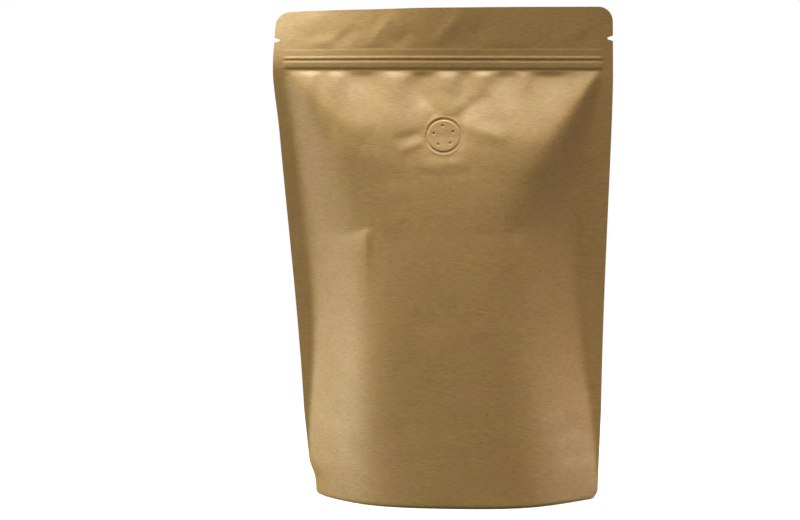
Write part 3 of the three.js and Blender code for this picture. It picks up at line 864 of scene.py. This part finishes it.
def vent_relief(right, up):
    """Pinholes pierced from outside: each is a small pit in the middle of a shallow dimple."""
    total = np.zeros_like(right)
    for i in range(VENTS):
        turn = math.pi / 2 + VENT_TURN + 2 * math.pi * i / VENTS
        place = VENT_PITCH_RADIUS * math.cos(turn), VENT_PITCH_RADIUS * math.sin(turn)
        away = np.hypot(right - place[0], up - place[1])
        total -= DIMPLE_DEPTH * (1.0 - smooth(away, 0.0, DIMPLE_RADIUS))
        total -= VENT_DEPTH * (1.0 - smooth(away, *VENT_WALL))
    return total


# ---- Materials ----
# The paper's patterns, by their length across the sheet and their width up it, in millimetres. Softwood
# fibres are about 3 mm long and a few hundredths wide. They are drawn 0.5 mm wide, and the grain of the
# pressed surface as coarse, because neither would show at its real width. For the bark it is the spacing.
FIBRE_SIZE = (3.5, 0.5)
CLOUD_SIZE = (16.0, 8.0)
TINT_SIZE = (21.0, 13.0)
GRAIN_SIZE = (0.5, 0.4)
BARK_SPACING = (7.0, 5.5)


def add_node(tree, kind, inputs=None, **settings):
    """Adds a node with its settings. Its inputs are given as values, or as the outputs that feed them."""
    node = tree.nodes.new(kind)
    for name, value in settings.items():
        setattr(node, name, value)
    for name, value in (inputs or {}).items():
        if isinstance(value, bpy.types.NodeSocket):
            tree.links.new(value, node.inputs[name])
        else:
            node.inputs[name].default_value = value
    return node


def new_material(name):
    material = bpy.data.materials.new(name)
    material.use_nodes = True
    material.node_tree.nodes.clear()
    return material, material.node_tree


def kraft_material(name, look):
    """Machine-glazed unbleached kraft: long softwood fibres lie across the sheet, so it shows fine level
    streaks, faint clouds and a few bark flecks, with a broad satin gloss from its laminate."""
    material, tree = new_material(name)
    place = add_node(tree, "ShaderNodeTexCoord").outputs["Object"]

    def pattern(kind, size, **inputs):
        """A pattern of blobs of a size."""
        length, width = size
        scale = (1 / (length * MM), 1 / (length * MM), 1 / (width * MM))
        at = add_node(tree, "ShaderNodeMapping", {"Vector": place, "Scale": scale}).outputs["Vector"]
        return add_node(tree, kind, {"Vector": at, "Scale": 1.0, **inputs})

    def spread(value, low, high, to_low=0.0, to_high=1.0):
        """The value spread from one range over another."""
        reach = {"Value": value, "From Min": low, "From Max": high, "To Min": to_low, "To Max": to_high}
        return add_node(tree, "ShaderNodeMapRange", reach).outputs["Result"]

    def blend(factor, first, second):
        """A mix of two colours."""
        return add_node(tree, "ShaderNodeMix", {0: factor, 6: first, 7: second}, data_type="RGBA").outputs[2]

    fibres = pattern("ShaderNodeTexNoise", FIBRE_SIZE, Detail=3.0).outputs["Fac"]
    clouds = pattern("ShaderNodeTexNoise", CLOUD_SIZE, Detail=3.0).outputs["Fac"]
    tint = pattern("ShaderNodeTexNoise", TINT_SIZE, Detail=2.0).outputs["Fac"]
    grain = pattern("ShaderNodeTexNoise", GRAIN_SIZE, Detail=2.0).outputs["Fac"]
    bark = pattern("ShaderNodeTexVoronoi", BARK_SPACING).outputs
    # Divided by its cell's random colour, each fleck gets a size of its own.
    specks = {0: bark["Distance"], 1: bark["Color"]}
    specks = add_node(tree, "ShaderNodeMath", specks, operation="DIVIDE").outputs["Value"]
    pulp = blend(spread(tint, 0.38, 0.62), look.kraft, look.kraft_warm)
    pulp = blend(spread(clouds, 0.3, 0.7, 0.0, 0.22), pulp, look.fibre)
    pulp = blend(spread(fibres, 0.35, 0.7, 0.0, 0.75), pulp, look.fibre)
    colour = blend(spread(specks, 0.05, 0.12, 0.65, 0.0), pulp, look.fleck)
    height = add_node(tree, "ShaderNodeMix", {"Factor": 0.4, "A": fibres, "B": grain}, data_type="FLOAT")
    bump = {"Height": height.outputs["Result"], "Strength": 0.5, "Distance": 0.06 * MM}
    shader = {
        "Base Color": colour,
        "Roughness": spread(clouds, 0.3, 0.7, 0.50, 0.62),
        "Normal": add_node(tree, "ShaderNodeBump", bump).outputs["Normal"],
        "IOR": 1.5,
        "Specular IOR Level": 0.75,
    }
    surface = add_node(tree, "ShaderNodeBsdfPrincipled", shader).outputs["BSDF"]
    add_node(tree, "ShaderNodeOutputMaterial", {"Surface": surface})
    return material


# ---- The stage ----
# The camera's angles in degrees, and its distance and target height in millimetres. The target is a point on
# the bag's axis, which shows at the given place of the picture.
Camera = namedtuple("Camera", "azimuth elevation distance roll target_height focal_pixels target_x target_y")
CAMERA = Camera(2.0, 6.5, 1600.0, -0.66, 140.0, 2824.0, 445.8, 252.1)
PICTURE = (800, 520)
SENSOR = 36.0
CLIP_END = 50.0

# The floor, and the lights, in metres and watts.
Light = namedtuple("Light", "name azimuth elevation distance size power colour")
FLOOR_SIZE = 8.0
FLOOR_GAP = 0.0001
FLOOR_FADE = (0.10, 0.45)
FLOOR_GLOW = 0.55
FLOOR_COLOUR = (0.92, 0.92, 0.92, 1)
FLOOR_BOUNCE = (0.12, 0.12, 0.12, 1)
DAYLIGHT = (0.955, 1.04, 1.0)
LAMPLIGHT = (1.05, 0.96, 0.88)
LIGHTS = (
    Light("overhead_softbox", 0.0, 84.0, 1.6, (0.9, 0.9), 50.0, DAYLIGHT),
    Light("left_softbox", -87.0, 24.0, 1.6, (0.7, 1.4), 29.0, DAYLIGHT),
    Light("front_softbox", 0.0, 50.0, 1.6, (0.6, 0.6), 5.0, LAMPLIGHT),
    Light("right_softbox", 85.0, 30.0, 1.6, (0.7, 1.2), 3.5, LAMPLIGHT),
    Light("back_softbox", 180.0, 35.0, 1.6, (0.9, 0.9), 16.0, DAYLIGHT),
    # Two small white cards that stand low beside the bag.
    Light("right_card", 77.0, -31.8, 0.228, (0.08, 0.08), 0.095, LAMPLIGHT),
    Light("left_card", -78.0, -31.0, 0.238, (0.08, 0.08), 0.1, DAYLIGHT),
)
LIGHT_AIM = Vector((0.0, 0.0, 0.14))
FILL = 0.004


class KRAFTBAG_OT_stage(bpy.types.Operator):
    """Set the pale floor, the soft lights and the camera"""

    bl_idname = "kraftbag.stage"
    bl_label = "Studio Stage"

    def execute(self, context):
        add_floor()
        for light in LIGHTS:
            add_light(light)
        add_camera()
        world = bpy.data.worlds.new("white_studio")
        context.scene.world = world
        world.use_nodes = True
        tree = world.node_tree
        tree.nodes.clear()
        seen = add_node(tree, "ShaderNodeBackground", {"Color": (1, 1, 1, 1), "Strength": 1.0})
        fill = add_node(tree, "ShaderNodeBackground", {"Color": (1, 1, 1, 1), "Strength": FILL})
        ray = add_node(tree, "ShaderNodeLightPath").outputs["Is Camera Ray"]
        shaders = {0: ray, 1: fill.outputs["Background"], 2: seen.outputs["Background"]}
        both = add_node(tree, "ShaderNodeMixShader", shaders).outputs["Shader"]
        add_node(tree, "ShaderNodeOutputWorld", {"Surface": both})
        context.scene.view_settings.view_transform = "Standard"
        return {"FINISHED"}


def add_floor():
    """A pale floor that runs out into the white background. It looks bright, but throws little light back up,
    so that the bag keeps its depth."""
    deselect()
    bpy.ops.mesh.primitive_plane_add(size=FLOOR_SIZE, location=(0, 0, -FLOOR_GAP))
    floor = bpy.context.active_object
    floor.name = "studio_floor"
    material, tree = new_material("pale_studio_paper")
    place = add_node(tree, "ShaderNodeTexCoord").outputs["Object"]
    far = add_node(tree, "ShaderNodeVectorMath", {0: place}, operation="LENGTH").outputs["Value"]
    seen = add_node(tree, "ShaderNodeLightPath").outputs["Is Camera Ray"]
    reach = {"Value": far, "From Min": FLOOR_FADE[0], "From Max": FLOOR_FADE[1], "To Min": FLOOR_GLOW}
    share = add_node(tree, "ShaderNodeMapRange", reach, interpolation_type="SMOOTHSTEP").outputs["Result"]
    share = add_node(tree, "ShaderNodeMath", {0: share, 1: seen}, operation="MULTIPLY").outputs["Value"]
    colours = {"Factor": seen, 6: FLOOR_BOUNCE, 7: FLOOR_COLOUR}
    colour = add_node(tree, "ShaderNodeMix", colours, data_type="RGBA").outputs[2]
    paper = add_node(tree, "ShaderNodeBsdfDiffuse", {"Color": colour}).outputs["BSDF"]
    white = add_node(tree, "ShaderNodeEmission", {"Color": (1, 1, 1, 1), "Strength": 1.0}).outputs["Emission"]
    both = add_node(tree, "ShaderNodeMixShader", {0: share, 1: paper, 2: white}).outputs["Shader"]
    add_node(tree, "ShaderNodeOutputMaterial", {"Surface": both})
    floor.data.materials.append(material)


def add_light(light):
    """Azimuth 0 is in front of the bag and 90 to its right."""
    data = bpy.data.lights.new(light.name, "AREA")
    data.shape = "RECTANGLE"
    data.size, data.size_y = light.size
    data.energy = light.power
    data.color = light.colour
    lamp = bpy.data.objects.new(light.name, data)
    bpy.context.scene.collection.objects.link(lamp)
    azimuth, elevation = math.radians(light.azimuth), math.radians(light.elevation)
    level = math.cos(elevation)
    away = Vector((math.sin(azimuth) * level, -math.cos(azimuth) * level, math.sin(elevation)))
    lamp.location = LIGHT_AIM + away * light.distance
    lamp.rotation_euler = away.to_track_quat("Z", "Y").to_euler()
    lamp.visible_camera = False


def add_camera():
    """The camera stands where the photograph was taken, and its aim puts the bag right of the middle."""
    turns = CAMERA.azimuth, CAMERA.elevation, CAMERA.roll
    azimuth, elevation, roll = (math.radians(turn) for turn in turns)
    facing = Matrix.Rotation(azimuth, 3, "Z") @ Matrix.Rotation(math.pi / 2 - elevation, 3, "X")
    right, above, back = (facing @ Matrix.Rotation(roll, 3, "Z")).transposed()
    target = Vector((0, 0, CAMERA.target_height))
    place = target + back * CAMERA.distance
    per_pixel = CAMERA.distance / CAMERA.focal_pixels
    aim = target - right * (CAMERA.target_x - PICTURE[0] / 2) * per_pixel
    aim += above * (CAMERA.target_y - PICTURE[1] / 2) * per_pixel
    away = (place - aim).normalized()
    across = above.cross(away).normalized()
    data = bpy.data.cameras.new("photo_camera")
    data.sensor_width = SENSOR
    data.lens = CAMERA.focal_pixels * SENSOR / PICTURE[0]
    data.clip_end = CLIP_END
    camera = bpy.data.objects.new("photo_camera", data)
    bpy.context.scene.collection.objects.link(camera)
    turn = Matrix((across, away.cross(across), away)).transposed().to_4x4()
    camera.matrix_world = Matrix.Translation(place * MM) @ turn
    bpy.context.scene.camera = camera


class KRAFTBAG_PT_panel(bpy.types.Panel):
    """List the steps and their settings in the 3D view's sidebar"""

    bl_idname = "KRAFTBAG_PT_panel"
    bl_label = "Kraft Coffee Bag"
    bl_space_type = "VIEW_3D"
    bl_region_type = "UI"
    bl_category = "Kraft Bag"

    def draw(self, context):
        for step in (KRAFTBAG_OT_bag, KRAFTBAG_OT_valve, KRAFTBAG_OT_stage):
            self.layout.operator(step.bl_idname)
        for settings in (context.scene.kraftbag_sizes, context.scene.kraftbag_look):
            box = self.layout.box()
            for name in settings.__annotations__:
                box.prop(settings, name)


CLASSES = (
    KraftBagSizes,
    KraftBagLook,
    KRAFTBAG_OT_bag,
    KRAFTBAG_OT_valve,
    KRAFTBAG_OT_stage,
    KRAFTBAG_PT_panel,
)


def register():
    for item in CLASSES:
        bpy.utils.register_class(item)
    bpy.types.Scene.kraftbag_sizes = bpy.props.PointerProperty(type=KraftBagSizes)
    bpy.types.Scene.kraftbag_look = bpy.props.PointerProperty(type=KraftBagLook)


def unregister():
    del bpy.types.Scene.kraftbag_look
    del bpy.types.Scene.kraftbag_sizes
    for item in reversed(CLASSES):
        bpy.utils.unregister_class(item)


def main():
    register()
    bpy.ops.kraftbag.bag()
    bpy.ops.kraftbag.valve()
    bpy.ops.kraftbag.stage()


if __name__ == "__main__":
    main()
